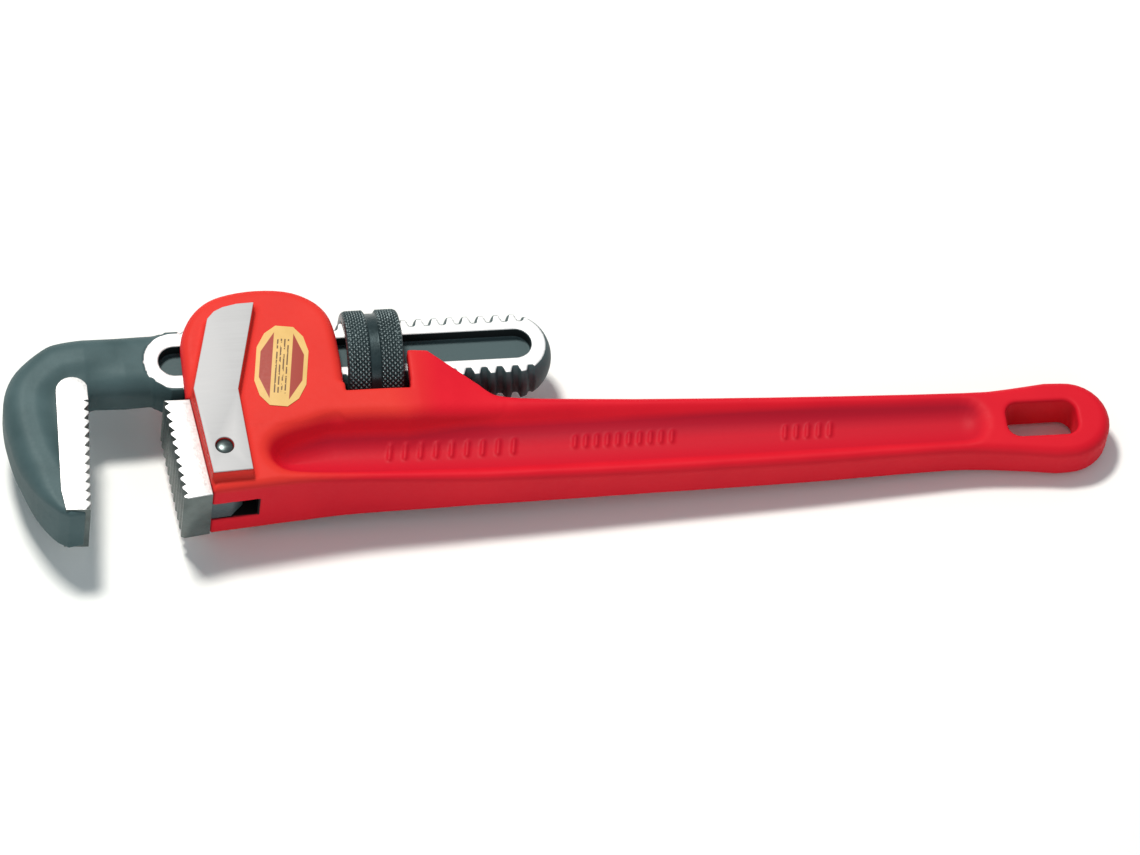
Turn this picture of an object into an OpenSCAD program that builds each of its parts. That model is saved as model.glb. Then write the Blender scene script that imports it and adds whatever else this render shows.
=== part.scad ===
/* [Jaws] */
// Gap between the tooth tips at the throat, as the wrench is stored
opening = 29.6; // [4:0.1:70]
// Thickness of the hook across the wrench
hook_t = 28; // [24:1:30]
// Thickness of the heel jaw across the wrench
heel_t = 30; // [26:1:32]
// Spacing of the teeth along both jaw faces
tooth_pitch = 4.3; // [3.5:0.1:5]
// Depth of the teeth
tooth_depth = 1.8; // [1:0.1:2.5]
// Number of teeth on the hook's face
hook_teeth = 12; // [8:1:12]
// Number of teeth on the heel jaw's face
heel_teeth = 10; // [8:1:10]

/* [Shank and nut] */
// Axial pitch of the thread, four turns to the inch
thread_pitch = 6.35; // [5:0.05:7]
// Outside diameter of the thread
thread_d = 34.2; // [33:0.1:34.4]
// Depth of the thread
thread_depth = 2.6; // [2:0.1:2.8]
// Thickness of the shank between its two flats
shank_t = 20; // [18:1:20]
// Width of the long recess in each flat
recess_w = 13.6; // [10:0.2:15]
// Depth of the long recess in each flat
recess_depth = 5.5; // [3:0.5:6]
// Diameter over the nut's knurled bands
nut_d = 44; // [41:0.1:44]
// Width of the nut along the shank
nut_w = 23; // [20:0.5:23]
// Width of the smooth groove between the nut's bands
nut_groove_w = 3.6; // [2:0.2:5]

/* [Handle] */
// Where the grip ends, measured from the nut's centre
handle_end = 297.8; // [280:1:310]
// Thickness of the head beside the heel jaw
head_t = 34; // [32:0.5:34]
// Thickness of the housing around the shank
housing_t = 34.4; // [33:0.2:36]
// Thickness over the two ground pads
pad_t = 44.6; // [44.6:0.2:47]
// Thickness of the web between the grip's two channels
web_t = 8; // [6:1:10]
// Width of the flange left beside each channel
flange_w = 4.2; // [3:0.2:6]
// Length of the hang hole
hang_l = 29.2; // [20:1:32]
// Width of the hang hole
hang_w = 16; // [12:1:18]

/* [Small parts] */
// Diameter of the heel jaw's pin
pin_d = 7.3; // [6:0.1:8]
// Thickness of the heel jaw's tongue
tongue_t = 11; // [9:1:12]
// Outside diameter of the coil spring
coil_d = 9.4; // [8:0.2:9.6]
// Wire diameter of the coil spring
coil_wire = 1.4; // [1:0.1:1.6]
// Number of turns of the coil spring
coil_turns = 5; // [4:1:6]
// Thickness of the flat spring
leaf_t = 1.2; // [0.8:0.1:1.3]
// Thickness of the label
label_t = 0.3; // [0.2:0.1:0.5]

/* [Hidden] */
$fn = 64;
eps = 0.02;
far = 100;

red = [0.80, 0.04, 0.03];
forged = [0.22, 0.27, 0.30];
bright = [0.80, 0.82, 0.84];
dark = [0.10, 0.11, 0.12];
cream = [0.93, 0.82, 0.55];

// The drawing frame has its origin at the nut's centre, X along the shank towards the grip's
// end, Y towards the wrench's back and Z across it. place() then stands the wrench on its pads
// with the origin under the middle of its outline.
throat_y = -22;
heel_throat_x = -87.3;
hook_x = heel_throat_x - opening;
hook_reach = 33.9;
hook_bottom_y = -72.4;
housing_top_y = 29.1;
mid_x = (hook_x - hook_reach + handle_end) / 2;
mid_y = (hook_bottom_y + housing_top_y) / 2;

thread_r = thread_d / 2;
root_r = thread_r - thread_depth;
fit_gap = 0.4;

function arc(c, r, a0, a1, n = 12) =
    [for (i = [0:n]) c + r * [cos(a0 + (a1 - a0) * i / n), sin(a0 + (a1 - a0) * i / n)]];

// A smooth curve through the inner points of p, which bends evenly between them
function through(p, n = 4) = [for (k = [1:len(p) - 3], i = [0:n - 1])
    let (t = i / n, a = p[k - 1], b = p[k], c = p[k + 1], d = p[k + 2])
    0.5 * (2 * b + (c - a) * t + (2 * a - 5 * b + 4 * c - d) * t * t
        + (3 * b - a - 3 * c + d) * t * t * t)];

module place() {
    translate([-mid_x, -mid_y, pad_t / 2]) children();
}

module slab(t) {
    linear_extrude(height = t, center = true) children();
}

// Turns a solid drawn along Z so that it lies along X
module along_x() {
    rotate([0, 90, 0]) children();
}

// A profile of [radius, axial] points swept along a helix about X, which starts at angle a0
// from +Y towards +Z
module helix_sweep(profile, pitch, turns, x0, a0, steps) {
    n = round(turns * steps);
    m = len(profile);
    ring = function(i) [for (p = profile) [x0 + p[1] + pitch * i / steps,
        p[0] * cos(a0 + 360 * i / steps), p[0] * sin(a0 + 360 * i / steps)]];
    points = [for (i = [0:n], p = ring(i)) p];
    sides = [for (i = [0:n - 1], j = [0:m - 1])
        [i * m + j, i * m + (j + 1) % m, (i + 1) * m + (j + 1) % m, (i + 1) * m + j]];
    first = [for (j = [m - 1:-1:0]) j];
    last = [for (j = [0:m - 1]) n * m + j];
    polyhedron(points, concat([first], sides, [last]));
}

// ---- Jaw teeth: a row of V notches from a to b, with the tips on that line ----
module tooth_notches(a, b, count, depth, side) {
    run = b - a;
    dir = run / norm(run);
    into = side * [dir[1], -dir[0]];
    start = (norm(run) - count * tooth_pitch) / 2;
    for (i = [0:count]) {
        foot = a + dir * (start + i * tooth_pitch);
        polygon([foot - dir * tooth_pitch * 0.62 - into * eps,
            foot + into * depth,
            foot + dir * tooth_pitch * 0.26 - into * eps]);
    }
}

// ---- Hook jaw ----
hook_face_top = [hook_x, -19];
hook_face_bottom = [hook_x - 3.5, -71];
neck_end_x = hook_x + 27;
neck_top_y = 14.6;
neck_bottom_y = -12.6;
hook_back = [[30, 15], [8, neck_top_y], [-8.6, 13], [-17, 9.8], [-28, 0], [-33, -10.5],
    [-hook_reach, -22], [-32.7, -33], [-29.9, -45.4], [-23.6, -60], [-15.6, -70], [-8, -76]];
hook_outline = concat(
    [[neck_end_x, neck_top_y + 1]],
    [for (p = through(hook_back)) [hook_x + p[0], p[1]]],
    [[hook_x - 15.6, -70], [hook_x - 11.6, hook_bottom_y], hook_face_bottom, hook_face_top],
    arc([hook_x + 5, -17.6], 5, 180, 90, 6),
    [[neck_end_x, neck_bottom_y]]);

shank_left = hook_x + 24;
tail_r = 16.6;
tail_x = hook_x + 190.8;
recess_left = hook_x + 30;
recess_right = hook_x + 182;
thread_from = hook_x + 32 + thread_pitch;
thread_count = floor((tail_x - 3 - thread_from) / thread_pitch);
lead_angle = atan(thread_pitch / (2 * PI * thread_r));

module shank_rod() {
    along_x() rotate_extrude() polygon(concat(
        [[0, shank_left], [neck_top_y - 1, shank_left], [thread_r, shank_left + 5]],
        [for (p = arc([thread_r - tail_r, tail_x - tail_r], tail_r, 0, 90, 8)) p],
        [[0, tail_x]]));
}

// One ring-shaped groove, tilted by the lead angle so that it follows the helix on one edge
module thread_groove(x, side) {
    translate([x, 0, 0]) rotate([0, side * lead_angle, 0]) along_x() rotate_extrude()
        polygon([[root_r, -1.1], [thread_r + 1, -2.4], [thread_r + 1, 2.4], [root_r, 1.1]]);
}

module edge_half(side) {
    translate([shank_left, side > 0 ? 0 : -far, -far / 2]) cube([2 * far, far, far]);
}

module shank() {
    intersection() {
        difference() {
            shank_rod();
            for (i = [0:thread_count - 1]) {
                intersection() {
                    thread_groove(thread_from + i * thread_pitch, 1);
                    edge_half(1);
                }
                intersection() {
                    thread_groove(thread_from + (i + 0.5) * thread_pitch, -1);
                    edge_half(-1);
                }
            }
        }
        translate([shank_left, -far / 2, -shank_t / 2]) cube([2 * far, far, shank_t]);
    }
}

module recess(side) {
    r = recess_w / 2;
    floor_z = shank_t / 2 - recess_depth;
    translate([0, 0, side > 0 ? floor_z : -floor_z - 2 * recess_depth])
        linear_extrude(height = 2 * recess_depth) {
            translate([recess_left, -r]) square([recess_right - recess_left - 2 * r, recess_w]);
            translate([recess_left, 0]) circle(r);
            translate([recess_right - 2 * r, 0]) circle(r);
        }
}

module hook_jaw() {
    shoulder_from = hook_x + 2;
    shoulder_to = hook_x + 9;
    color(forged) place() difference() {
        union() {
            intersection() {
                slab(hook_t) difference() {
                    polygon(hook_outline);
                    tooth_notches(hook_face_top, hook_face_bottom, hook_teeth, tooth_depth, 1);
                }
                rotate([90, 0, 0]) slab(3 * far) polygon([[hook_x - far, -hook_t / 2],
                    [shoulder_from, -hook_t / 2], [shoulder_to, -shank_t / 2],
                    [neck_end_x, -shank_t / 2], [neck_end_x, shank_t / 2],
                    [shoulder_to, shank_t / 2], [shoulder_from, hook_t / 2],
                    [hook_x - far, hook_t / 2]]);
            }
            shank();
        }
        recess(1);
        recess(-1);
    }
}

// ---- Heel jaw ----
heel_face_top = [heel_throat_x, throat_y];
heel_face_bottom = [heel_throat_x + 4, -68.3];
seat_top = [-76.3, throat_y];
seat_bottom = [-71.3, -67];
seat_gap = 0.1;
pin_at = [-65.4, -49.3];
tongue_top = -40;
tongue_end = -58;
head_bottom = -66.6;

module heel_jaw() {
    back = [seat_gap, 0];
    color(bright) place() difference() {
        union() {
            slab(heel_t) difference() {
                polygon([heel_face_top, heel_face_bottom, [heel_face_bottom[0] + 1.5, -69],
                    [-71.4, -67.9], seat_bottom - back, seat_top - back]);
                tooth_notches(heel_face_top, heel_face_bottom, heel_teeth, tooth_depth, -1);
            }
            slab(tongue_t) {
                polygon([[-78, tongue_top], [tongue_end - 6, tongue_top], [tongue_end, tongue_top - 6],
                    [tongue_end, head_bottom + 6], [tongue_end - 5, head_bottom + 1],
                    [-78, head_bottom]]);
            }
        }
        translate(pin_at) cylinder(h = far, d = pin_d + 0.1, center = true);
    }
}

module heel_jaw_pin() {
    sunk = 0.4;
    color(dark) place() translate(pin_at)
        cylinder(h = pad_t - 2 * sunk, d = pin_d, center = true);
}

// ---- Handle ----
pocket_left = -13.5;
pocket_right = nut_w / 2 + 1.4;
pocket_floor = -22.7;
hang_at = [handle_end - 28.4, -48.9];
grip_end_r = 17.8;
rock_deg = 2.5;
lug_top = -4.8;
slot_end = -52.4;

grip_outline = concat(
    [seat_bottom, seat_top, [-76.3, 4], [pocket_left - 1.8, 4], [pocket_left, pocket_floor],
        [pocket_right, pocket_floor], [pocket_right, lug_top], [21.5, lug_top], [30, -11.6]],
    through([[30, -11.6], [41, -20.2], [52, -24.9], [80, -27.1], [160, -30.9], [238, -33.4],
        [258, -32.6], [handle_end - 17.8, -31.1], [handle_end, -40]], 3),
    arc([handle_end - grip_end_r, -48.9], grip_end_r, 90, -90, 14),
    through([[handle_end, -60], [handle_end - 17.8, -66.7], [262, -65], [238, -62.6], [212, -62.8],
        [170, -64], [100, -64.7], [38, -64.7], [0, -63.9], [-17, -63.7], [-33, -64], [-51, -65.3],
        [-71.3, -67], [-90, -68.5]], 3));

// Side view of the grip: half its thickness along its length
grip_half_t = [[-far, head_t / 2], [-33, head_t / 2], [-17, 15.6], [1, 14.3], [37, 11.9],
    [105, 10.3], [238, 9.4], [handle_end + 1, 8.8]];

// Side view of the shelf under the nut, which falls to the grip behind the lug
shelf_half_t = [[-far, housing_t / 2], [13, housing_t / 2], [48, 11.4], [far, 11.4]];
shelf_outline = [[-17, -20], [-17, -32.4], [-5, -32.8], [12, -33.6], [30, -33], [48, -31.8],
    [46, -22.6], [41, -20.2], [30, -11.6], [21.5, lug_top], [pocket_right, lug_top],
    [pocket_right, -20]];

housing_top = concat(
    [[-78.2, -21.4]],
    through([[-78.2, -20], [-78.2, 2], [-75.2, 13.4], [-69, 22], [-60, 27], [-45, housing_top_y],
        [-30, 27], [-18.9, 19], [-14.6, 6], [-13.5, -20]], 4),
    [[-14.6, 6], [pocket_left, -8], [pocket_left, -21.4]]);
housing_foot = [[-75.6, -26], [-76.1, -19], [pocket_left, -12], [pocket_left, -33], [-30, -35.5],
    [-52, -35.5]];

pad_outline = [[-66.6, 11.5], [-60, 16.5], [-47.2, 18.3], [-57.4, -22.8], [-55.1, -61],
    [-71, -61.8], [-75.2, -21.6]];

channel_outline = concat(
    [[-20, -34.6], [-34, -38.8], [-42.5, -43], [-45, -47.5], [-43.5, -53], [-39, -57.5], [-30, -59]],
    [[0, -64.4 + flange_w + 1], [100, -64.7 + flange_w + 1], [238, -62.6 + flange_w]],
    arc([238, -48.5], 9.9, -90, 90, 8),
    [[160, -32.4 - flange_w], [80, -28.9 - flange_w], [48, -34], [30, -35.2], [11, -35.8],
        [-5, -35]]);

module channel(side) {
    translate([0, 0, side > 0 ? web_t / 2 : -web_t / 2 - far])
        linear_extrude(height = far) polygon(channel_outline);
}

// The way through the housing: its floor falls towards the front, so that the shank can rock
module shank_passage() {
    drop = tan(rock_deg);
    leaf_room = thread_r + leaf_t + 0.9;
    slab(shank_t + 2 * fit_gap) polygon([[-80, thread_r + fit_gap], [pocket_left + 1, thread_r + fit_gap],
        [pocket_left + 1, -leaf_room - 14 * drop], [-80, -leaf_room - 76 * drop]]);
}

// The saddle behind the nut, in which the shank's tail lies
module saddle() {
    translate([pocket_right - 1, -thread_r - fit_gap, -shank_t / 2 - fit_gap])
        cube([60, far, shank_t + 2 * fit_gap]);
}

coil_x = -58;
coil_top = -thread_r - leaf_t - 0.25;
coil_pocket_floor = -36.5;
coil_pocket_d = coil_d + 1;

module hang_hole() {
    r = 5.5;
    slab(far) {
        translate(hang_at - [hang_l / 2, hang_w / 2 - r]) square([hang_l, hang_w - 2 * r]);
        translate(hang_at - [hang_l / 2 - r, hang_w / 2]) square([hang_l - 2 * r, hang_w]);
        for (sx = [-1, 1], sy = [-1, 1])
            translate(hang_at + [sx * (hang_l / 2 - r), sy * (hang_w / 2 - r)]) circle(r);
    }
}

// One part of the housing, with its edges bevelled
module bevelled(outline) {
    bevel = 2.3;
    hull() {
        slab(housing_t - 3 * bevel) polygon(outline);
        slab(housing_t) offset(delta = -bevel) polygon(outline);
    }
}

// A side outline, given the thickness by its half side view
module tapered(outline, half_t) {
    intersection() {
        slab(2 * far) polygon(outline);
        rotate([90, 0, 0]) slab(3 * far) polygon(concat(half_t,
            [for (i = [len(half_t) - 1:-1:0]) [half_t[i][0], -half_t[i][1]]]));
    }
}

module handle() {
    color(red) place() difference() {
        union() {
            tapered(grip_outline, grip_half_t);
            tapered(shelf_outline, shelf_half_t);
            bevelled(housing_top);
            bevelled(housing_foot);
            slab(pad_t) polygon(pad_outline);
        }
        translate([pocket_left, pocket_floor, -far / 2])
            cube([pocket_right - pocket_left, far, far]);
        shank_passage();
        saddle();
        slab(tongue_t + 0.4) polygon([[-80, tongue_top + 0.6], [slot_end, tongue_top + 0.6],
            [slot_end, -80], [-80, -80]]);
        translate(pin_at) cylinder(h = far, d = pin_d + 0.1, center = true);
        translate([coil_x, coil_pocket_floor, 0]) rotate([-90, 0, 0])
            cylinder(h = 20, d = coil_pocket_d);
        channel(1);
        channel(-1);
        hang_hole();
    }
}

// ---- Adjusting nut ----
module nut_ring() {
    r = nut_d / 2;
    w = nut_w / 2;
    g = nut_groove_w / 2;
    bore_r = thread_r + 0.35;
    along_x() rotate_extrude() polygon([[bore_r + 1, -w], [r - 1.8, -w], [r, -w + 2.2], [r, -g - 0.8],
        [r - 1.3, -g], [r - 1.3, g], [r, g + 0.8], [r, w - 2.2], [r - 1.8, w], [bore_r + 1, w],
        [bore_r, w - 1], [bore_r, -w + 1]]);
}

// The ridge starts where the shank's groove lies at the rest opening, so the two are in mesh
module nut_thread() {
    tip_r = root_r + 0.35;
    bore_r = thread_r + 0.35;
    turns = 3;
    x0 = -turns * thread_pitch / 2;
    phase = 360 * (x0 - thread_from) / thread_pitch;
    helix_sweep([[tip_r, 0.7], [tip_r, -0.7], [bore_r + 0.3, -1.5], [bore_r + 0.3, 1.5]],
        thread_pitch, turns, x0, phase, 30);
}

module adjusting_nut() {
    color(forged) place() union() {
        nut_ring();
        nut_thread();
    }
}

// ---- Springs inside the housing ----
module flat_spring() {
    leaf_w = 12;
    leaf_y = -thread_r - 0.15;
    color(bright) place() difference() {
        slab(leaf_w) polygon([[-70, leaf_y - leaf_t - 0.6], [-66, leaf_y - leaf_t], [-17, leaf_y - leaf_t],
            [-17, leaf_y], [-66.4, leaf_y], [-70.4, leaf_y - 0.6]]);
        translate([coil_x, leaf_y - 3, 0]) rotate([-90, 0, 0]) cylinder(h = 6, d = 3.1);
    }
}

module spring_rivet() {
    leaf_y = -thread_r - 0.15;
    color(dark) place() translate([coil_x, leaf_y - leaf_t - 3.4, 0]) rotate([-90, 0, 0]) {
        cylinder(h = 3.4 + leaf_t - 0.1, d = 3);
        cylinder(h = 3.3, d = coil_d - 2 * coil_wire - 0.4);
    }
}

module coil_spring() {
    mean_r = coil_d / 2 - coil_wire / 2;
    length = coil_top - coil_pocket_floor - coil_wire - 0.2;
    wire = [for (a = [0:60:300]) [mean_r + coil_wire / 2 * cos(a), coil_wire / 2 * sin(a)]];
    color(bright) place() translate([coil_x, coil_pocket_floor + coil_wire / 2 + 0.1, 0])
        rotate([0, 0, 90]) helix_sweep(wire, length / coil_turns, coil_turns, 0, 0, 18);
}

// ---- Label ----
module label() {
    color(cream) place() translate([-38.4, -10, housing_t / 2 + label_t / 2 + 0.02])
        rotate([0, 0, -9]) slab(label_t) polygon([[-3.6, 19.2], [3.6, 19.2], [7.9, 15], [10.5, 8.1],
            [10.5, -8.1], [7.9, -15], [3.6, -19.2], [-3.6, -19.2], [-7.9, -15], [-10.5, -8.1],
            [-10.5, 8.1], [-7.9, 15]]);
}

handle();
hook_jaw();
heel_jaw();
heel_jaw_pin();
adjusting_nut();
flat_spring();
coil_spring();
spring_rivet();
label();
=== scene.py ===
import math

import bmesh
import bpy
import numpy as np
import openvdb
from mathutils import Matrix, Vector


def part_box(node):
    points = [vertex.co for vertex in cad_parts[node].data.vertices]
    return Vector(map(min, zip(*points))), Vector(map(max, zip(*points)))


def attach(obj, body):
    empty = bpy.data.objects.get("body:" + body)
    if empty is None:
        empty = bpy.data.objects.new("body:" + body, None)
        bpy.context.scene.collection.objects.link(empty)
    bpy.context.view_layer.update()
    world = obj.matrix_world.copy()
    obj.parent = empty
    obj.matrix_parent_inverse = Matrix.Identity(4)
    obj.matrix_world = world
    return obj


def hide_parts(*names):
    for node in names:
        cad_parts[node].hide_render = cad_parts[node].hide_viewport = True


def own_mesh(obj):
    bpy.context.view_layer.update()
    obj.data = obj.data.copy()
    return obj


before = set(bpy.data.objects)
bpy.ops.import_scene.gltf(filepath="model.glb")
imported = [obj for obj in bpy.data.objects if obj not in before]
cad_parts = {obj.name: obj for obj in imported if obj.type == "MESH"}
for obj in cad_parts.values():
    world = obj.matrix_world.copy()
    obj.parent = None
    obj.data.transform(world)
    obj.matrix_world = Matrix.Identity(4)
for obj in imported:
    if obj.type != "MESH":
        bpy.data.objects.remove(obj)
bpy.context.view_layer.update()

# The wrench is drawn in millimetres about the nut's centre: X along the shank towards the grip's
# end, Y towards the wrench's back, Z across it. Lengths are those of the CAD model.
MM = 0.001


def middle(node):
    low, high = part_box(node)
    return (Vector(low) + Vector(high)) / 2


ORIGIN = middle("adjusting_nut")


def local_box(node):
    """A node's lowest and highest corners in drawing millimetres."""
    low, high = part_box(node)
    return [(Vector(low) - ORIGIN) / MM, (Vector(high) - ORIGIN) / MM]


def to_row(point):
    return ORIGIN + Vector(point) * MM


HANDLE_LOW, HANDLE_HIGH = local_box("handle")
HOOK_LOW, HOOK_HIGH = local_box("hook_jaw")
NUT_LOW, NUT_HIGH = local_box("adjusting_nut")
HEEL_LOW, HEEL_HIGH = local_box("heel_jaw")
LABEL_LOW, LABEL_HIGH = local_box("label")
PIN_LOW, PIN_HIGH = local_box("heel_jaw_pin")
COIL_LOW, COIL_HIGH = local_box("coil_spring")

# Half thicknesses: over the ground pads, the hook's toothed face, the heel jaw, the shank's flats
# and the housing
PAD_Z = HANDLE_HIGH.z
HOOK_Z = HOOK_HIGH.z
HEEL_Z = HEEL_HIGH.z
SHANK_Z = 10.0
HOUSING_Z = 17.2
# The hook's toothed face and the two far ends
HOOK_X = HOOK_LOW.x + 33.9
SHANK_END = HOOK_HIGH.x
GRIP_END = HANDLE_HIGH.x
PITCH = 6.35
THREAD_R = 17.1
ROOT_R = 14.5
PIN_AT = ((PIN_LOW.x + PIN_HIGH.x) / 2, (PIN_LOW.y + PIN_HIGH.y) / 2)
COIL_X = (COIL_LOW.x + COIL_HIGH.x) / 2
# The nut's pocket: its two ends and its floor
POCKET = (-13.5, 12.9, -22.7)


# ---- Curves ----

def arc(centre, radius, start, end, steps=12):
    """Points on an arc, with its angles in degrees."""
    turns = [math.radians(start + (end - start) * i / steps) for i in range(steps + 1)]
    return [(centre[0] + radius * math.cos(t), centre[1] + radius * math.sin(t)) for t in turns]


def through(points, steps=4):
    """A smooth curve through the inner points, which bends evenly between them."""
    out = []
    for a, b, c, d in zip(points, points[1:], points[2:], points[3:]):
        for i in range(steps):
            t = i / steps
            out.append(tuple(0.5 * (2 * b[k] + (c[k] - a[k]) * t
                                    + (2 * a[k] - 5 * b[k] + 4 * c[k] - d[k]) * t * t
                                    + (3 * b[k] - a[k] - 3 * c[k] + d[k]) * t ** 3)
                             for k in (0, 1)))
    return out


# ---- Distance fields: negative inside, in millimetres ----

def outline_distance(x, y, points):
    """Signed distance to a closed outline."""
    best = np.float32(1e9)
    inside = np.zeros(np.broadcast(x, y).shape, bool)
    for (ax, ay), (bx, by) in zip(points, points[1:] + points[:1]):
        ex, ey = bx - ax, by - ay
        if ex == 0 and ey == 0:
            continue
        t = np.clip(((x - ax) * ex + (y - ay) * ey) / (ex * ex + ey * ey), 0, 1)
        best = np.minimum(best, (x - ax - t * ex) ** 2 + (y - ay - t * ey) ** 2)
        if ey:
            inside ^= ((ay > y) != (by > y)) & (x < ax + (y - ay) * ex / ey)
    distance = np.sqrt(best)
    return np.where(inside, -distance, distance)


def rounded_slab(flat, z, half, radius):
    """A flat outline carried half each way along Z, with its edges rounded."""
    u = flat + radius
    v = np.abs(z) - half + radius
    corner = np.hypot(np.maximum(u, 0), np.maximum(v, 0))
    return np.minimum(np.maximum(u, v), 0) + corner - radius


def join(a, b, radius):
    """Union with a fillet."""
    near = np.maximum(radius - np.abs(a - b), 0)
    return np.minimum(a, b) - near * near / (4 * radius)


def cut(a, b, radius):
    """a without b, with the new edge rounded."""
    return -join(-a, b, radius)


def brick(x, y, z, low, high):
    """A box from low to high; a None leaves that side open."""
    sides = []
    for axis, a, b in zip((x, y, z), low, high):
        if a is not None:
            sides.append(a - axis)
        if b is not None:
            sides.append(axis - b)
    out = sides[0]
    for side in sides[1:]:
        out = np.maximum(out, side)
    return out


def mesh_object(name, points, faces, smooth=True):
    mesh = bpy.data.meshes.new(name)
    mesh.from_pydata([tuple(p) for p in points], [], [tuple(f) for f in faces])
    mesh.validate()
    mesh.update()
    mesh.shade_smooth() if smooth else mesh.shade_flat()
    ob = bpy.data.objects.new(name, mesh)
    bpy.context.scene.collection.objects.link(ob)
    return ob


def field_object(name, shape, low, high, step):
    """The surface of a distance field, as a closed mesh whose points lie on it."""
    margin = 2 * step
    axes = [np.arange(a - margin, b + margin + step, step, dtype=np.float32)
            for a, b in zip(low, high)]
    x, y, z = np.meshgrid(*axes, indexing="ij", sparse=True)
    values = np.broadcast_to(shape(x, y, z), [len(a) for a in axes])
    grid = openvdb.FloatGrid(9.0)
    grid.copyFromArray(np.clip(values, -8, 8).astype(np.float32))
    points, quads = grid.convertToQuads(0.0)
    start = np.array([a[0] for a in axes])
    points = points.astype(np.float64) * step + start
    nudge = 0.05
    for _ in range(2):
        px, py, pz = points.T
        here = shape(px, py, pz)
        slope = np.stack([shape(px + nudge, py, pz) - shape(px - nudge, py, pz),
                          shape(px, py + nudge, pz) - shape(px, py - nudge, pz),
                          shape(px, py, pz + nudge) - shape(px, py, pz - nudge)], 1) / (2 * nudge)
        length = np.maximum((slope ** 2).sum(1), 0.3)
        move = slope * (here / length)[:, None]
        points = points - np.clip(move, -step / 2, step / 2)
    points = points * MM + np.array(ORIGIN)
    return mesh_object(name, points.tolist(), quads[:, ::-1].tolist())


def plate(name, outlines, z_low, z_high, bevel, segments=2):
    """A flat piece with small rounded edges: the first outline is its edge and the rest are holes."""
    curve = bpy.data.curves.new(name, "CURVE")
    curve.dimensions = "2D"
    curve.fill_mode = "BOTH"
    for points in outlines:
        spline = curve.splines.new("POLY")
        spline.points.add(len(points) - 1)
        for slot, (px, py) in zip(spline.points, points):
            slot.co = (px * MM, py * MM, 0, 1)
        spline.use_cyclic_u = True
    curve.extrude = ((z_high - z_low) / 2 - bevel) * MM
    curve.bevel_depth = bevel * MM
    curve.bevel_resolution = segments
    curve.offset = -bevel * MM
    holder = bpy.data.objects.new(name + "_curve", curve)
    bpy.context.scene.collection.objects.link(holder)
    bpy.context.view_layer.update()
    mesh = bpy.data.meshes.new_from_object(holder.evaluated_get(
        bpy.context.evaluated_depsgraph_get()))
    bpy.data.objects.remove(holder)
    bpy.data.curves.remove(curve)
    shift = ORIGIN + Vector((0, 0, (z_low + z_high) / 2 * MM))
    mesh.name = name
    mesh.transform(Matrix.Translation(shift))
    bm = bmesh.new()
    bm.from_mesh(mesh)
    bmesh.ops.remove_doubles(bm, verts=bm.verts, dist=1e-6)
    bmesh.ops.recalc_face_normals(bm, faces=bm.faces)
    bm.to_mesh(mesh)
    bm.free()
    mesh.shade_smooth()
    mesh.set_sharp_from_angle(angle=math.radians(40))
    ob = bpy.data.objects.new(name, mesh)
    bpy.context.scene.collection.objects.link(ob)
    return ob


def lathe(name, profile, centre, axis, steps=96):
    """A profile of (radius, along) points, from pole to pole, turned about an axis."""
    along = Vector(axis).normalized()
    side = along.orthogonal().normalized()
    other = along.cross(side)
    rings = profile[1:-1]
    points = [to_row(Vector(centre) + along * profile[i][1]) for i in (0, -1)]
    for i in range(steps):
        turn = 2 * math.pi * i / steps
        out = side * math.cos(turn) + other * math.sin(turn)
        points += [to_row(Vector(centre) + out * r + along * h) for r, h in rings]
    m = len(rings)
    faces = []
    for i in range(steps):
        here, there = 2 + i * m, 2 + (i + 1) % steps * m
        faces.append((0, there, here))
        faces += [(here + j, there + j, there + j + 1, here + j + 1) for j in range(m - 1)]
        faces.append((1, here + m - 1, there + m - 1))
    return mesh_object(name, points, faces)


# ---- Handle casting ----

SEAT_TOP = (-76.3, -22)
SEAT_BOTTOM = (-71.3, -67)
HANG_AT = (GRIP_END - 28.4, -48.9)
HANG_SIZE = (29.2, 16)
GRIP_R = 17.8

GRIP = ([SEAT_BOTTOM, SEAT_TOP, (-40, -20), (POCKET[0], POCKET[2]), (35, -20.2)]
        + through([(30, -11.6), (41, -20.2), (52, -24.9), (80, -27.1), (160, -30.9), (238, -33.4),
                   (258, -32.6), (GRIP_END - 17.8, -31.1), (GRIP_END, -40)], 3)
        + arc((GRIP_END - GRIP_R, -48.9), GRIP_R, 90, -90, 16)
        + through([(GRIP_END, -60), (GRIP_END - 17.8, -66.7), (262, -65), (238, -62.6),
                   (212, -62.8), (170, -64), (100, -64.7), (38, -64.7), (0, -63.9), (-17, -63.7),
                   (-33, -64), (-51, -65.3), SEAT_BOTTOM, (-90, -68.5)], 3))
# The shelf under the nut and the lug behind it, which falls to the grip
SHELF = [(-17, -19), (-17, -46), (46, -46), (50, -30), (41, -20.2), (30, -11.6), (21.5, -4.8),
         (POCKET[1], -4.8), (POCKET[1], -19)]
SHELF_T = ([4, 16, 30, 48], [17.2, 16.7, 14.4, 10.8])
HOUSING = ([(-75.6, -26), (-76.1, -21.4), (-78.2, -21.4)]
           + through([(-78.2, -20), (-78.2, 2), (-75.2, 13.4), (-69, 22), (-60, 27), (-45, 29.1),
                      (-30, 27), (-18.9, 19), (-14.6, 6), (-13.5, -20)], 4)
           + [(-14.6, 6), (POCKET[0], -8), (POCKET[0], -34), (-30, -37), (-52, -37)])
PAD = [(-66.6, 11.5), (-63.7, 14.8), (-60, 16.7), (-54.1, 18), (-47.2, 18.3), (-57.4, -22.8),
       (-55.1, -61), (-71, -61.8), (-75.2, -21.6)]
CHANNEL_FLOOR = 4.3
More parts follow.
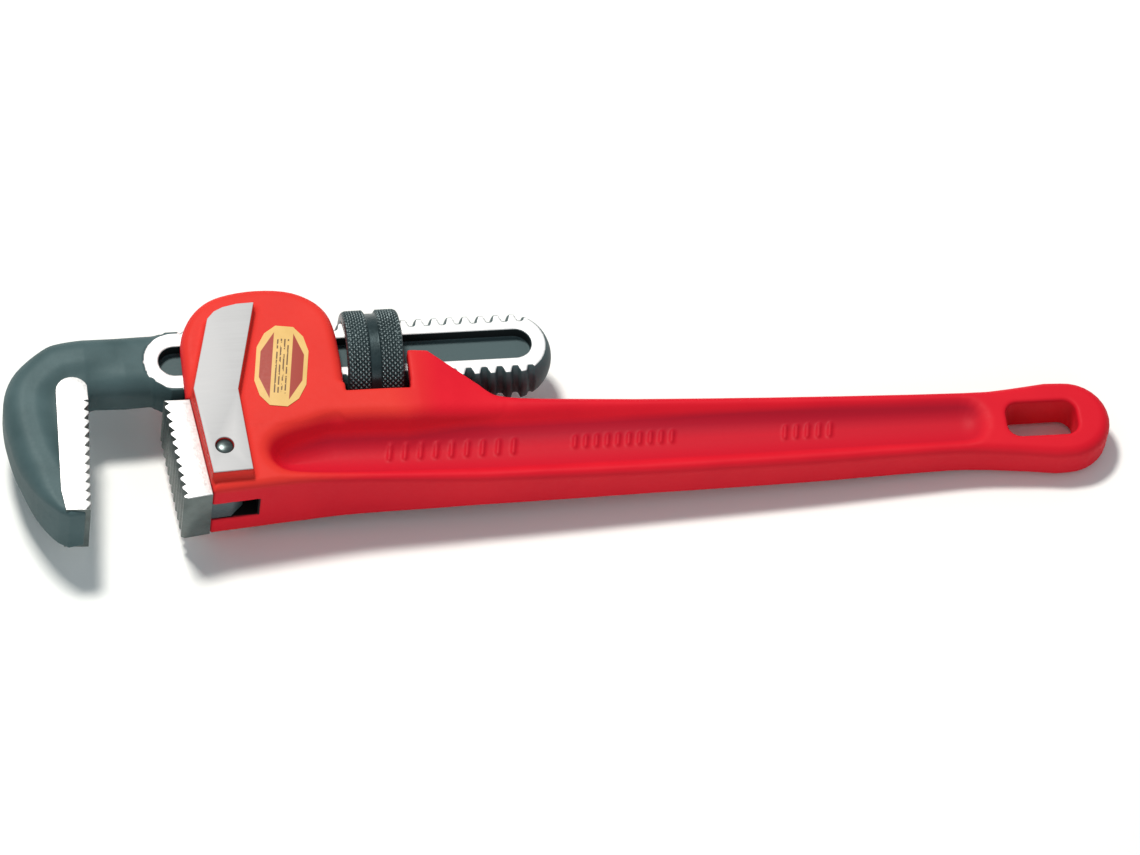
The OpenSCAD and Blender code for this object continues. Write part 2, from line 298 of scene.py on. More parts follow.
CHANNEL = (through([(-14, -40.9), (-21, -41), (-29, -43.2), (-36, -45.4), (-40.4, -48),
                    (-39.8, -51), (-35, -52.8), (-20, -54), (0, -54.6)], 3)
           + [(-20, -54), (0, -54.9), (38, -56.4), (100, -56.8), (232, -55.5)]
           + arc((236, -48.4), 7.0, -85, 85, 8)
           + [(160, -39.1), (90, -36.9), (60, -37), (48, -37.2), (35, -39), (23, -40.5), (11, -42),
              (-5, -41.2)])
WALL_SLOPE = 0.6
# Low leaning bars in the channel, where a wrench has its cast marks: centre X, centre Y and
# half length along Y
BARS = ([(2.5 + 6.3 * i, -46.2, 3.6) for i in range(9)]
        + [(78 + 4.4 * i, -45.6, 2.9) for i in range(10)]
        + [(164 + 4.6 * i, -46.6, 3.2) for i in range(5)])
BAR_LEAN = 0.18
HALF_T = ([-100, -33, -17, 1, 37, 105, 238, 300], [17, 17, 15.6, 14.3, 11.9, 10.3, 9.4, 8.8])
# The heel jaw tongue's slot: its inner end, its upper side and its half width
SLOT_END = -52.4
SLOT_TOP = -39.4
SLOT_Z = 5.7
# Fall of the shank over its length at full rock
ROCK = math.tan(math.radians(2.5))
# Half widths of the hook jaw's neck from its toothed face on, and how far it slides in to close
CROWN = ([0, 6, 14, 20, 30], [13.3, 12.6, 11.5, 10.9, 10.0])
CLOSING = 28


def channel_cut(x, y, z):
    """A trough with sloping sides and a rounded floor, on both faces of the grip."""
    walls = (outline_distance(x, y, CHANNEL) - WALL_SLOPE * (np.abs(z) - CHANNEL_FLOOR)) * 0.85
    floor = CHANNEL_FLOOR - np.abs(z)
    for bx, by, long in BARS:
        px, py = x - bx - BAR_LEAN * (y - by), np.abs(y - by) - long + 0.7
        bar = np.hypot(px, np.maximum(py, 0)) - 0.75
        floor = np.maximum(floor, floor + 0.9 * np.clip(0.6 - bar, 0, 1))
    return -join(-walls, -floor, 6)


def handle_shape(x, y, z):
    half = np.interp(x, *HALF_T)
    flat = outline_distance(x, y, GRIP)
    body = rounded_slab(flat, z, half, np.interp(x, [-60, -20], [3.2, 4.4]))
    housing = rounded_slab(outline_distance(x, y, HOUSING), z, HOUSING_Z, 4.5)
    body = join(body, housing, 3)
    shelf = rounded_slab(outline_distance(x, y, SHELF), z, np.interp(x, *SHELF_T), 1.0)
    body = np.maximum(join(body, shelf, 2.5), np.abs(z) - HOUSING_Z)
    body = cut(body, channel_cut(x, y, z), 3.4)
    boss = rounded_slab(outline_distance(x, y, PAD) - 0.3, z, PAD_Z - 0.5, 0.5)
    body = join(body, boss, 2.4)
    # the nut's pocket, the way for the shank and the saddle behind the nut
    body = cut(body, brick(x, y, z, (POCKET[0], POCKET[2], None), (POCKET[1], 60, None)), 1.2)
    fit = SHANK_Z + 0.45
    mouth = np.interp(x - HOOK_X - CLOSING, *CROWN) + 0.45
    floor_y = -(THREAD_R + 2.1) + np.minimum(x, 0) * ROCK
    passage = brick(x, y, z, (-90, None, -mouth), (POCKET[0] + 2, THREAD_R + 0.45, mouth))
    body = cut(body, np.maximum(passage, floor_y - y), 1.0)
    saddle = brick(x, y, z, (POCKET[1] - 2, -THREAD_R - 0.45, -fit), (70, 60, fit))
    body = cut(body, saddle, 1.0)
    slot = brick(x, y, z, (-90, -90, -SLOT_Z), (SLOT_END, SLOT_TOP, SLOT_Z))
    body = cut(body, slot, 0.6)
    # the heel jaw's seat and the holes
    seat_x = SEAT_TOP[0] + (SEAT_TOP[1] - y) * (SEAT_BOTTOM[0] - SEAT_TOP[0]) / (
        SEAT_TOP[1] - SEAT_BOTTOM[1])
    body = cut(body, np.maximum(x - seat_x, y - SEAT_TOP[1] - 0.1), 0.6)
    body = cut(body, np.hypot(x - PIN_AT[0], y - PIN_AT[1]) - 3.75, 0.6)
    hx = np.abs(x - HANG_AT[0]) - HANG_SIZE[0] / 2 + 5.5
    hy = np.abs(y - HANG_AT[1]) - HANG_SIZE[1] / 2 + 5.5
    hang = (np.hypot(np.maximum(hx, 0), np.maximum(hy, 0)) + np.minimum(np.maximum(hx, hy), 0) - 5.5)
    body = cut(body, hang, 1.8)
    coil_hole = np.maximum(np.hypot(x - COIL_X, z) - 6.8, -37.2 - y)
    body = cut(body, np.maximum(coil_hole, y + 10), 0.5)
    return body


def build_handle():
    casting = field_object("handle_casting", handle_shape, HANDLE_LOW, HANDLE_HIGH, 0.8)
    pads = []
    hole = arc(PIN_AT, 3.85, 0, 345, 23)
    for side, word in ((1, "upper"), (-1, "lower")):
        low, high = sorted((side * (PAD_Z - 0.7), side * PAD_Z))
        pads.append(plate("pad_face_" + word, [PAD, hole], low, high, 0.25))
    return casting, pads


# ---- Hook jaw ----

def shifted(points, dx):
    return [(x + dx, y) for x, y in points]


HOOK_BACK = [(90, 18.5), (60, 17), (31, 16.3), (8, 14.5), (-8.6, 13), (-17, 9.8), (-28, 0),
             (-33, -10.5), (-33.9, -22), (-32.7, -33), (-29.9, -45.4), (-23.6, -60), (-15.6, -70),
             (-8, -76)]
HOOK = shifted(through(HOOK_BACK, 4)
               + [(-15.6, -70), (-11.6, -72.4), (-5.6, -71.4), (-2.4, -20)]
               + arc((5, -17.6), 5.4, 190, 90, 8) + [(60, -12.6)], HOOK_X)
RECESS = (HOOK_X + 30, HOOK_X + 182)
RIM_LEFT = HOOK_X + 36.8
TOOTH_TOP = (HOOK_X, -19)
TOOTH_BOTTOM = (HOOK_X - 3.5, -71)


def toothed(a, b, count, depth, side):
    """The points of a row of pointed teeth from a to b, cut towards one side."""
    run = Vector(b) - Vector(a)
    along = run.normalized()
    into = Vector((along.y, -along.x)) * side
    pitch = 4.3
    start = (run.length - count * pitch) / 2
    out = [tuple(a)]
    for i in range(count + 1):
        foot = Vector(a) + along * (start + i * pitch)
        out += [tuple(foot - along * pitch * 0.55), tuple(foot + into * depth),
                tuple(foot + along * pitch * 0.20)]
    return [p for p in out if p[1] <= a[1] + 0.01 and p[1] >= b[1] - 0.01] + [tuple(b)]


def thread_radius(x, turn):
    """Radius of the shank's thread at a place along it and an angle round it."""
    phase = (x - (HOOK_X + 32)) / PITCH - turn / (2 * math.pi)
    away = np.abs(phase - np.round(phase)) * PITCH
    depth = np.clip((2.3 - away) / 1.25, 0, 1)
    return THREAD_R - (THREAD_R - ROOT_R) * depth


def hook_shape(x, y, z):
    flat = outline_distance(x, y, HOOK)
    # the forging's sides fall a little from their crown towards the toothed face
    from_back = -outline_distance(x, y, shifted([(60, 14.6)] + through(HOOK_BACK, 4)
                                                + [(-15.6, -70), (-8, -110), (60, -110)], HOOK_X))
    neck = np.clip((x - HOOK_X - 2) / 14, 0, 1)
    crown = np.interp(x - HOOK_X, *CROWN)
    fall = np.clip((from_back - 12) / 9, 0, 1)
    half = crown - 2.4 * fall * fall * (3 - 2 * fall) * (1 - neck)
    edge = np.interp(y, [-68, -48], [2.5, 8.5])
    body = np.maximum(rounded_slab(flat, z, half, edge), x - HOOK_X - 31)
    # the threaded shank with its two flats
    turn = np.arctan2(z, y)
    across = np.hypot(y, z)
    fade = np.clip((x - HOOK_X - 39) / 3, 0, 1) * np.clip((SHANK_END - 5 - x) / 4, 0, 1)
    radius = THREAD_R + (thread_radius(x, turn) - THREAD_R) * fade
    ball = np.hypot(across, np.maximum(x - SHANK_END + 16.6, 0) * THREAD_R / 16.6) - THREAD_R
    rod = np.maximum((across - radius) * 0.8, ball)
    cone = (across - 13.6 - (x - HOOK_X - 29) * 0.7) * 0.8
    rod = np.maximum(rod, np.maximum(cone, HOOK_X + 28.5 - x))
    rod = np.maximum(rod, np.abs(z) - SHANK_Z)
    body = join(body, rod, 3.0)
    # the spot face round the recess's end
    rim_x = np.clip(x, RIM_LEFT, SHANK_END - 16)
    body = cut(body, np.maximum(np.hypot(x - rim_x, y) - 13.0, SHANK_Z - np.abs(z)), 0.3)
    core_x = np.clip(x, RECESS[0] + 6.8, RECESS[1] - 6.8)
    recess = np.maximum(np.hypot(x - core_x, y) - 6.8, SHANK_Z - 5.5 - np.abs(z))
    return cut(body, recess, 0.6)


def build_hook():
    forging = field_object("hook_forging", hook_shape, HOOK_LOW, HOOK_HIGH, 0.6)
    x = HOOK_X
    outline = (toothed(TOOTH_TOP, TOOTH_BOTTOM, 12, 1.9, 1)
               + [(x - 13.4, -70.4), (x - 14.6, -60.8), (x - 12.9, -15.8)]
               + arc((x - 6.2, -14.2), 6.6, 175, 20, 10))
    face = plate("hook_teeth", [outline], -HOOK_Z, HOOK_Z, 0.3)
    return forging, face


# ---- Heel jaw and its pin ----

def build_heel():
    top = (HEEL_LOW.x, HEEL_HIGH.y)
    bottom = (HEEL_LOW.x + 4, -68.3)
    outline = (toothed(top, bottom, 10, 1.9, -1)
               + [(bottom[0] + 1.5, -69), (-71.4, -67.6), (SEAT_BOTTOM[0] - 0.15, -66.6),
                  (SEAT_TOP[0] - 0.15, -22)])
    block = plate("heel_jaw_block", [outline], -HEEL_Z, HEEL_Z, 0.4)
    tongue_outline = [(-74, -40), (-64, -40), (-58, -46), (-58, -60.6), (-63, -65.6), (-74, -66.6)]
    tongue = plate("heel_jaw_tongue", [tongue_outline, arc(PIN_AT, 3.68, 0, 345, 23)],
                   -5.5, 5.5, 0.4)
    radius = 3.6
    half = PIN_HIGH.z
    dome = [(radius * math.cos(math.radians(a)), half - 1.1 + 1.1 * math.sin(math.radians(a)))
            for a in range(0, 90, 10)]
    profile = [(0, -half)] + [(r, -h) for r, h in reversed(dome)] + dome + [(0, half)]
    pin = lathe("heel_pin", profile, (PIN_AT[0], PIN_AT[1], 0), (0, 0, 1), 48)
    return block, tongue, pin


# ---- Nut ----

def build_nut():
    radius = NUT_HIGH.y
    half = NUT_HIGH.x
    bore = THREAD_R + 0.35
    knurls = 64
    around = knurls * 8
    groove = 1.9

    def ring(h):
        """Outer radius and knurl depth at a place along the nut."""
        rim = max(0, abs(h) - (half - 2.4)) / 2.4
        body = radius - 1.9 * (1 - math.sqrt(max(0, 1 - rim * rim)))
        into_groove = min(max((abs(h) - groove) / 0.9, 0), 1)
        base = radius - 1.5 + (body - radius + 1.5) * into_groove
        return base, 0.75 * min(into_groove, max(0, 1 - rim * 0.8))

    steps = 120
    stations = [-half + 2 * half * i / steps for i in range(steps + 1)]
    lead = math.pi * 2 * radius / knurls
    points = []
    faces = []
    rows = []
    for h in stations:
        base, depth = ring(h)
        row = []
        for i in range(around):
            turn = 2 * math.pi * i / around
            u = (turn * radius + h) / lead
            v = (turn * radius - h) / lead
            crest = min(abs(u - round(u)), abs(v - round(v))) * 2
            r = base - depth * (1 - min(1, crest * 1.5))
            row.append((r, turn, h))
        rows.append(row)
    inner = [(bore + 1, half), (bore, half - 1), (bore, -half + 1), (bore + 1, -half)]
    for r, h in inner:
        rows.append([(r, 2 * math.pi * i / around, h) for i in range(around)])
    for row in rows:
        points += [to_row((h, r * math.cos(t), r * math.sin(t))) for r, t, h in row]
    for j in range(len(rows)):
        k = (j + 1) % len(rows)
        for i in range(around):
            n = (i + 1) % around
            faces.append((j * around + i, j * around + n, k * around + n, k * around + i))
    ob = mesh_object("nut_ring", points, faces)
    bm = bmesh.new()
    bm.from_mesh(ob.data)
    bmesh.ops.recalc_face_normals(bm, faces=bm.faces)
    bm.to_mesh(ob.data)
    bm.free()
    ob.data.set_sharp_from_angle(angle=math.radians(60))
    return ob, nut_thread(bore)


def nut_thread(bore):
    """The nut's inner thread, in mesh with the shank's."""
    tip = ROOT_R + 0.35
    turns = 3
    steps = 60
    x0 = -turns * PITCH / 2
    start = 2 * math.pi * (x0 - (HOOK_X + 32)) / PITCH
    section = [(tip, 0.7), (tip, -0.7), (bore + 0.3, -1.5), (bore + 0.3, 1.5)]
    points = []
    for i in range(turns * steps + 1):
        turn = start + 2 * math.pi * i / steps
        points += [to_row((x0 + h + PITCH * i / steps, r * math.cos(turn), r * math.sin(turn)))
                   for r, h in section]
    faces = [(i * 4 + j, i * 4 + (j + 1) % 4, (i + 1) * 4 + (j + 1) % 4, (i + 1) * 4 + j)
             for i in range(turns * steps) for j in range(4)]
    last = turns * steps * 4
    faces += [(3, 2, 1, 0), (last, last + 1, last + 2, last + 3)]
    ob = mesh_object("nut_thread", points, faces)
    ob.data.set_sharp_from_angle(angle=math.radians(40))
    return ob


# ---- Coil spring and label ----

def build_coil():
    wire = 0.7
    mean = (COIL_HIGH.x - COIL_LOW.x) / 2 - wire
    low = COIL_LOW.y + wire
    rise = COIL_HIGH.y - COIL_LOW.y - 2 * wire
    turns, steps, sides = 5, 32, 10
    points = []
    for i in range(turns * steps + 1):
        turn = 2 * math.pi * i / steps
        for j in range(sides):
            a = 2 * math.pi * j / sides
            r = mean + wire * math.cos(a)
            points.append(to_row((COIL_X + r * math.cos(turn), low + rise * i / (turns * steps)
                                  + wire * math.sin(a), r * math.sin(turn))))
    n = turns * steps
    faces = [(i * sides + j, i * sides + (j + 1) % sides, (i + 1) * sides + (j + 1) % sides,
              (i + 1) * sides + j) for i in range(n) for j in range(sides)]
    faces += [tuple(range(sides))[::-1], tuple(n * sides + j for j in range(sides))]
    ob = mesh_object("coil_spring_wire", points, faces)
    bm = bmesh.new()
    bm.from_mesh(ob.data)
    bmesh.ops.recalc_face_normals(bm, faces=bm.faces)
    bm.to_mesh(ob.data)
    bm.free()
    return ob


LABEL_AT = ((LABEL_LOW.x + LABEL_HIGH.x) / 2, (LABEL_LOW.y + LABEL_HIGH.y) / 2)
LABEL_TURN = math.radians(-9)


def build_label():
    cx, cy = LABEL_AT
    cos, sin = math.cos(LABEL_TURN), math.sin(LABEL_TURN)
    corners = [(-3.6, 19.2), (3.6, 19.2), (7.9, 15), (10.5, 8.1), (10.5, -8.1), (7.9, -15),
               (3.6, -19.2), (-3.6, -19.2), (-7.9, -15), (-10.5, -8.1), (-10.5, 8.1), (-7.9, 15)]
    outline = [(cx + px * cos - py * sin, cy + px * sin + py * cos) for px, py in corners]
    return plate("label_foil", [outline], LABEL_LOW.z, LABEL_HIGH.z, 0.05)


# ---- Materials ----

class Nodes:
    """A material's node tree, built a few nodes at a time."""

    def __init__(self, name):
        self.material = bpy.data.materials.new(name)
        self.material.use_nodes = True
        self.tree = self.material.node_tree
        self.shader = self.tree.nodes["Principled BSDF"]
        self.place = self.add("ShaderNodeTexCoord").outputs["Object"]

    def add(self, kind, **settings):
        node = self.tree.nodes.new(kind)
        for key, value in settings.items():
            if key in node.inputs:
                node.inputs[key].default_value = value
            else:
                setattr(node, key, value)
        return node

    def link(self, source, target):
        self.tree.links.new(source, target)

    def set(self, **values):
        for key, value in values.items():
            self.shader.inputs[key.replace("_", " ")].default_value = value

    def noise(self, scale, detail=3, stretch=None):
        node = self.add("ShaderNodeTexNoise", Scale=scale, Detail=detail)
        source = self.place
        if stretch:
            mapping = self.add("ShaderNodeMapping")
            mapping.inputs["Scale"].default_value = stretch
            self.link(self.place, mapping.inputs["Vector"])
            source = mapping.outputs["Vector"]
        self.link(source, node.inputs["Vector"])
        return node.outputs["Fac"]

    def ramp(self, factor, stops):
        node = self.add("ShaderNodeValToRGB")
        while len(node.color_ramp.elements) < len(stops):
            node.color_ramp.elements.new(0.5)
        for element, (at, colour) in zip(node.color_ramp.elements, stops):
            element.position = at
            element.color = (*colour, 1) if len(colour) == 3 else colour
        self.link(factor, node.inputs["Fac"])
        return node.outputs["Color"]

    def span(self, factor, low, high, to_low=0.0, to_high=1.0):
        node = self.add("ShaderNodeMapRange")
        for key, value in (("From Min", low), ("From Max", high),
                           ("To Min", to_low), ("To Max", to_high)):
            node.inputs[key].default_value = value
        self.link(factor, node.inputs["Value"])
        return node.outputs["Result"]

    def mix(self, factor, a, b):
        node = self.add("ShaderNodeMix", data_type="RGBA")
        self.link(factor, node.inputs["Factor"])
        for source, socket in ((a, node.inputs[6]), (b, node.inputs[7])):
            if isinstance(source, tuple):
                socket.default_value = (*source, 1)
            else:
                self.link(source, socket)
        return node.outputs[2]

    def math(self, operation, *values):
        node = self.add("ShaderNodeMath", operation=operation)
        for value, socket in zip(values, node.inputs):
            if isinstance(value, (int, float)):
                socket.default_value = value
            else:
                self.link(value, socket)
        return node.outputs[0]

    def product(self, first, *factors):
        for factor in factors:
            first = self.math("MULTIPLY", first, factor)
        return first

    def parts(self, vector):
        """The X, Y and Z of a vector."""
        node = self.add("ShaderNodeSeparateXYZ")
        self.link(vector, node.inputs[0])
        return list(node.outputs)

    def drawn(self):
        """The place in drawing millimetres: X, Y and the distance from the middle plane."""
        x, y, z = [self.math("DIVIDE", self.math("SUBTRACT", part, origin), MM)
                   for part, origin in zip(self.parts(self.place), ORIGIN)]
        return x, y, self.math("ABSOLUTE", z)

    def bump(self, height, strength, distance):
        node = self.add("ShaderNodeBump", Strength=strength, Distance=distance)
        self.link(height, node.inputs["Height"])
        self.link(node.outputs["Normal"], self.shader.inputs["Normal"])
        return node


def red_enamel():
    """Red coat, with painted warm light on the head's raised faces and painted shade in the channel,
    darkest along its upper wall.
    """
    m = Nodes("red_enamel")
    broad = m.noise(35, 4)
    crimson = m.ramp(broad, [(0.3, (0.62, 0.007, 0.021)), (0.7, (0.68, 0.010, 0.024))])
    lit_orange = m.ramp(broad, [(0.3, (0.65, 0.032, 0.024)), (0.7, (0.70, 0.038, 0.028))])
    x, y, height = m.drawn()
    # painted light: the head's raised faces take a warmer, orange-lit copy of the red
    painted_light_head = m.product(m.span(height, 13, 16.5), m.span(x, 25, 5))
    colour = m.mix(painted_light_head, crimson, lit_orange)
    # painted shade: the channel is painted darker, most along its upper wall
    painted_shade_channel = m.product(m.span(x, -46, -40), m.span(x, 250, 242), m.span(y, -35.5, -38),
                          m.span(y, -59, -56), m.span(height, 9.5, 7))
    painted_shade_tone = m.mix(m.span(y, -41, -47), (0.40, 0.007, 0.023), (0.54, 0.009, 0.024))
    colour = m.mix(painted_shade_channel, colour, painted_shade_tone)
    # painted shade: the tongue's slot is painted near black inside
    slot = m.product(m.span(height, SLOT_Z + 0.2, SLOT_Z), m.span(x, SLOT_END + 1, SLOT_END + 0.6),
                     m.span(y, SLOT_TOP + 0.4, SLOT_TOP))
    m.link(m.mix(slot, colour, (0.010, 0.008, 0.008)), m.shader.inputs["Base Color"])
    fine = m.noise(520, 4)
    m.link(m.span(fine, 0.3, 0.7, 0.50, 0.58), m.shader.inputs["Roughness"])
    m.bump(fine, 0.05, 0.0006)
    m.set(Specular_IOR_Level=0.12)
    return m.material


def forged_steel():
    m = Nodes("forged_steel")
    broad = m.noise(60, 5)
    colour = m.ramp(broad, [(0.3, (0.050, 0.078, 0.085)), (0.7, (0.085, 0.122, 0.132))])
    m.link(colour, m.shader.inputs["Base Color"])
    fine = m.noise(900, 4)
    m.link(m.span(fine, 0.3, 0.7, 0.34, 0.50), m.shader.inputs["Roughness"])
    m.bump(fine, 0.25, 0.0005)
    m.set(Metallic=0.35, Specular_IOR_Level=0.4)
    return m.material


def ground_steel(name, colour, roughness, metallic=0.85):
    m = Nodes(name)
    lines = m.noise(260, 3, (0.15, 3.0, 1.0))
    tone = m.ramp(lines, [(0.25, tuple(c * 0.90 for c in colour)), (0.75, colour)])
    m.link(tone, m.shader.inputs["Base Color"])
    m.link(m.span(lines, 0.25, 0.75, roughness - 0.06, roughness + 0.06),
           m.shader.inputs["Roughness"])
    m.bump(lines, 0.08, 0.0003)
    m.set(Metallic=metallic)
    return m.material


def hook_steel():
    """Dark forging with ground, bright flats on the shank."""
    m = Nodes("hook_steel")
    broad = m.noise(60, 5)
    dark = m.ramp(broad, [(0.3, (0.046, 0.086, 0.092)), (0.7, (0.068, 0.118, 0.126))])
    x, y, height = m.drawn()
    flat = m.product(m.span(height, SHANK_Z - 0.30, SHANK_Z - 0.20),
                     m.span(height, SHANK_Z + 0.15, SHANK_Z + 0.05))
    # distance from the shank's middle line, which stops short of its two ends
    core = m.math("MAXIMUM", m.math("MINIMUM", x, SHANK_END - 15.6), RIM_LEFT)
    aside = m.math("SUBTRACT", x, core)
    away = m.math("SQRT", m.math("ADD", m.product(aside, aside), m.product(y, y)))
    spot_face = m.span(away, 13.2, 12.9)
    shank = m.product(m.span(away, 13.9, 13.6), m.span(x, RIM_LEFT + 2, RIM_LEFT + 2.3))
    ground = m.product(flat, m.math("MAXIMUM", spot_face, shank))
    floor = m.product(m.span(away, 7.4, 7.2), m.span(height, 5.0, 4.8))
    # painted shade: the recess's back wall is painted near black
    painted_shade_wall = m.product(m.span(away, 7.2, 7.0), m.span(height, SHANK_Z - 0.4, SHANK_Z - 0.6))
    dark = m.mix(painted_shade_wall, dark, (0.012, 0.016, 0.017))
    dark = m.mix(floor, dark, (0.060, 0.100, 0.108))
    lines = m.noise(260, 3, (3.0, 0.15, 1.0))
    bright = m.ramp(lines, [(0.25, (0.80, 0.81, 0.82)), (0.75, (0.90, 0.91, 0.92))])
    m.link(m.mix(ground, dark, bright), m.shader.inputs["Base Color"])
    fine = m.noise(900, 4)
    m.link(m.span(fine, 0.3, 0.7, 0.54, 0.60), m.shader.inputs["Roughness"])
    m.link(m.span(ground, 0, 1, 0.1, 0.5), m.shader.inputs["Metallic"])
    m.set(Specular_IOR_Level=0.25)
    m.bump(fine, 0.06, 0.0005)
    return m.material


def heel_steel():
    """Bright ground sides, and dark faces where the block isn't ground."""
    m = Nodes("heel_steel")
    geometry = m.add("ShaderNodeNewGeometry")
    facing = m.math("ABSOLUTE", m.parts(geometry.outputs["True Normal"])[2])
    mask = m.span(facing, 0.3, 0.7)
    broad = m.noise(120, 5)
    dark = m.ramp(broad, [(0.3, (0.07, 0.09, 0.085)), (0.7, (0.13, 0.16, 0.155))])
    lines = m.noise(260, 3, (0.15, 3.0, 1.0))
    bright = m.ramp(lines, [(0.25, (0.70, 0.71, 0.71)), (0.75, (0.80, 0.81, 0.81))])
    m.link(m.mix(mask, dark, bright), m.shader.inputs["Base Color"])
    fine = m.noise(900, 4)
    m.link(m.span(fine, 0.3, 0.7, 0.30, 0.44), m.shader.inputs["Roughness"])
    m.link(m.span(mask, 0, 1, 0.4, 0.5), m.shader.inputs["Metallic"])
    m.bump(fine, 0.15, 0.0004)
    return m.material


def nut_steel():
    m = Nodes("nut_steel")
    geometry = m.add("ShaderNodeNewGeometry")
    # painted highlight: the knurl's crests are painted lighter
    crest_highlight = m.span(geometry.outputs["Pointiness"], 0.52, 0.62)
    broad = m.noise(150, 4)
    dark = m.ramp(broad, [(0.3, (0.018, 0.034, 0.038)), (0.7, (0.034, 0.058, 0.064))])
    m.link(m.mix(crest_highlight, dark, (0.34, 0.42, 0.43)), m.shader.inputs["Base Color"])
    fine = m.noise(900, 4)
    m.link(m.span(fine, 0.3, 0.7, 0.28, 0.42), m.shader.inputs["Roughness"])
    m.bump(fine, 0.15, 0.0004)
    m.set(Metallic=0.5, Specular_IOR_Level=0.4)
    return m.material


def label_print():
    """Cream foil with two red-brown side bands and fine rules in the middle."""
    m = Nodes("label_print")
    mapping = m.add("ShaderNodeMapping", vector_type="TEXTURE")
    mapping.inputs["Location"].default_value = to_row((*LABEL_AT, 0))
    mapping.inputs["Rotation"].default_value = (0, 0, LABEL_TURN)
    m.link(m.place, mapping.inputs["Vector"])
    on_label = m.parts(mapping.outputs["Vector"])
    side, length = [m.math("ABSOLUTE", part) for part in on_label[:2]]
    reach = m.math("MULTIPLY_ADD", length, 0.5, side)
    bands = m.product(m.span(side, 3.8 * MM, 4.0 * MM), m.span(reach, 12.0 * MM, 11.8 * MM),
                      m.span(side, 8.9 * MM, 8.7 * MM))
    wave = m.add("ShaderNodeTexWave", Scale=220.0, bands_direction="X", Distortion=0.0)
    m.link(mapping.outputs["Vector"], wave.inputs["Vector"])
    rules = m.product(m.span(wave.outputs["Fac"], 0.55, 0.7), m.span(side, 3.1 * MM, 2.9 * MM),
                      m.span(length, 13.2 * MM, 13.0 * MM), m.span(m.noise(520, 1), 0.40, 0.44))
    paper = m.ramp(m.noise(80, 3), [(0.3, (0.66, 0.43, 0.14)), (0.7, (0.74, 0.50, 0.18))])
    ruled = m.mix(rules, paper, (0.16, 0.09, 0.04))
    m.link(m.mix(bands, ruled, (0.34, 0.05, 0.035)), m.shader.inputs["Base Color"])
    m.link(m.span(m.noise(700, 3), 0.3, 0.7, 0.50, 0.58), m.shader.inputs["Roughness"])
    m.set(Specular_IOR_Level=0.3)
    return m.material


# ---- Putting the wrench together ----

def finish_piece(ob, material, body, node):
    ob.data.materials.clear()
    ob.data.materials.append(material)
    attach(ob, body)
    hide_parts(node)


def build_wrench():
    enamel = red_enamel()
    pad_steel = ground_steel("pad_steel", (0.48, 0.49, 0.50), 0.6, 0.1)
    casting, pads = build_handle()
    finish_piece(casting, enamel, "handle", "handle")
    for pad in pads:
        finish_piece(pad, pad_steel, "handle", "handle")
    forging, face = build_hook()
    finish_piece(forging, hook_steel(), "hook_jaw", "hook_jaw")
    toothed_steel = heel_steel()
    finish_piece(face, toothed_steel, "hook_jaw", "hook_jaw")
    block, tongue, pin = build_heel()
    finish_piece(block, toothed_steel, "handle", "heel_jaw")
    finish_piece(tongue, forged_steel(), "handle", "heel_jaw")
    pin_steel = ground_steel("pin_steel", (0.10, 0.13, 0.13), 0.28)
    finish_piece(pin, pin_steel, "handle", "heel_jaw_pin")
    dark_nut = nut_steel()
    for piece in build_nut():
        finish_piece(piece, dark_nut, "nut", "adjusting_nut")
    spring = ground_steel("spring_steel", (0.45, 0.46, 0.48), 0.35)
    coil = build_coil()
    coil.data.materials.append(spring)
    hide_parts("coil_spring")
    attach(coil, "spring_pack")
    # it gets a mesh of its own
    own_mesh(coil)
    finish_piece(build_label(), label_print(), "handle", "label")
    for node in ("flat_spring", "spring_rivet"):
        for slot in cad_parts[node].material_slots:
            slot.material = spring if node == "flat_spring" else pin_steel


# ---- Floor, light and camera ----

def lowest_point(normal):
    """The point of the wrench that reaches furthest against a direction."""
    best = None
    for name in ("handle_casting", "pad_face_lower", "heel_jaw_block", "hook_forging", "nut_ring"):
        mesh = bpy.data.objects[name].data
        points = np.empty(len(mesh.vertices) * 3, np.float32)
        mesh.vertices.foreach_get("co", points)
        points = points.reshape(-1, 3)
        point = Vector(points[(points @ np.array(normal, np.float32)).argmin()].tolist())
        if best is None or point.dot(normal) < best.dot(normal):
            best = point
    return best


def settle_plane():
    """The plane that the wrench lies on: under the nut, the lower pad's corner and the grip's end."""
    nut = Vector((NUT_HIGH.x - 2.4, 0, NUT_LOW.z))
    pad = Vector((-70.9, -61, HANDLE_LOW.z))
    grip = Vector((GRIP_END - GRIP_R, -48.9, -8.9))
    normal = (grip - pad).cross(nut - pad).normalized()
    if normal.z < 0:
        normal = -normal
    return lowest_point(normal), normal


def build_floor():
    place, normal = settle_plane()
    size = 4
    floor = mesh_object("floor", [(-size, -size, 0), (size, -size, 0), (size, size, 0),
                                  (-size, size, 0)], [(0, 1, 2, 3)], smooth=False)
    floor.rotation_mode = "QUATERNION"
    floor.rotation_quaternion = Vector((0, 0, 1)).rotation_difference(normal)
    floor.location = place
    m = Nodes("floor_paint")
    colour = m.ramp(m.noise(3, 2), [(0.3, (0.89, 0.93, 0.92)), (0.7, (0.90, 0.94, 0.93))])
    m.link(colour, m.shader.inputs["Base Color"])
    m.set(Roughness=0.9)
    floor.data.materials.append(m.material)


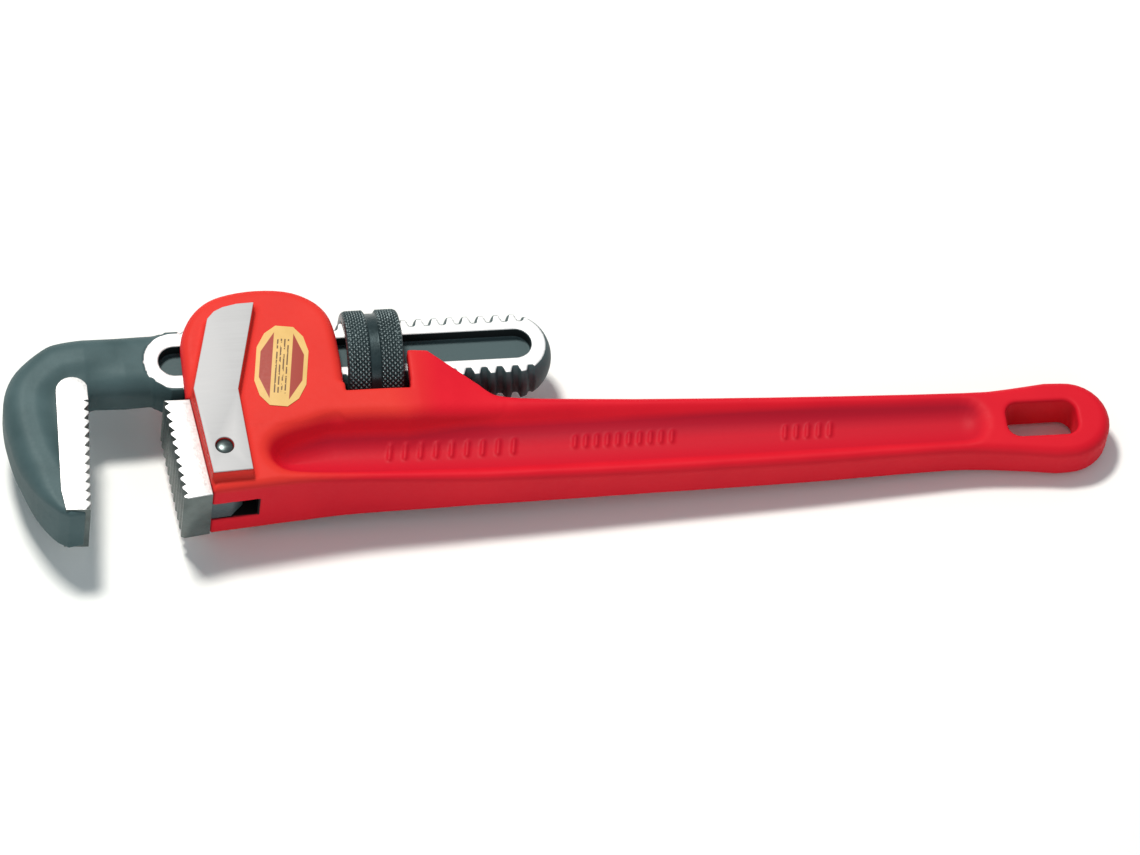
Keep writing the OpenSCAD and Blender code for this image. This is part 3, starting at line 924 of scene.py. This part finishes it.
def area_light(name, place, target, size, power, colour):
    data = bpy.data.lights.new(name, "AREA")
    data.shape = "RECTANGLE"
    data.size, data.size_y = size
    data.energy = power
    data.color = colour
    ob = bpy.data.objects.new(name, data)
    bpy.context.scene.collection.objects.link(ob)
    ob.location = place
    ob.rotation_mode = "QUATERNION"
    ob.rotation_quaternion = (Vector(place) - Vector(target)).to_track_quat("Z", "Y")
    return ob


def build_light():
    world = bpy.data.worlds.new("studio")
    world.use_nodes = True
    world.node_tree.nodes["Background"].inputs["Color"].default_value = (0.86, 0.95, 1, 1)
    world.node_tree.nodes["Background"].inputs["Strength"].default_value = 0.36
    bpy.context.scene.world = world
    target = to_row((60, -25, 0))
    area_light("key", target + Vector((-0.42, 0.72, 1.7)), target, (0.36, 0.3), 36,
               (1, 0.94, 0.88))
    area_light("front", target + Vector((0.2, -1.7, 0.75)), target, (1.2, 0.7), 5,
               (1, 0.95, 0.95))


AZIMUTH, ELEVATION, ROLL = 14.876, 56.615, 9.393
DISTANCE = 3.0
FRAME_WIDTH = 1140
FOCAL = 7395
AIM = (77.5, -25, 0)
AIM_RIGHT, AIM_UP = 1.34, -9.0


def build_camera():
    a, e, r = (math.radians(v) for v in (AZIMUTH, ELEVATION, ROLL))
    away = Vector((-math.sin(a) * math.cos(e), -math.cos(a) * math.cos(e), math.sin(e)))
    level = Vector((math.cos(a), -math.sin(a), 0))
    up = away.cross(level)
    right = level * math.cos(r) + up * math.sin(r)
    top = away.cross(right)
    aim = to_row(AIM) + (right * AIM_RIGHT + top * AIM_UP) * MM
    data = bpy.data.cameras.new("camera")
    data.sensor_width = 36
    data.lens = 36 * FOCAL / FRAME_WIDTH
    data.clip_end = 50
    camera = bpy.data.objects.new("camera", data)
    bpy.context.scene.collection.objects.link(camera)
    turned = Matrix((right, top, away)).transposed()
    camera.rotation_mode = "QUATERNION"
    camera.rotation_quaternion = turned.to_quaternion()
    camera.location = aim + away * DISTANCE
    bpy.context.scene.camera = camera


build_camera()
build_wrench()
build_floor()
build_light()
bpy.context.scene.view_settings.view_transform = "Standard"
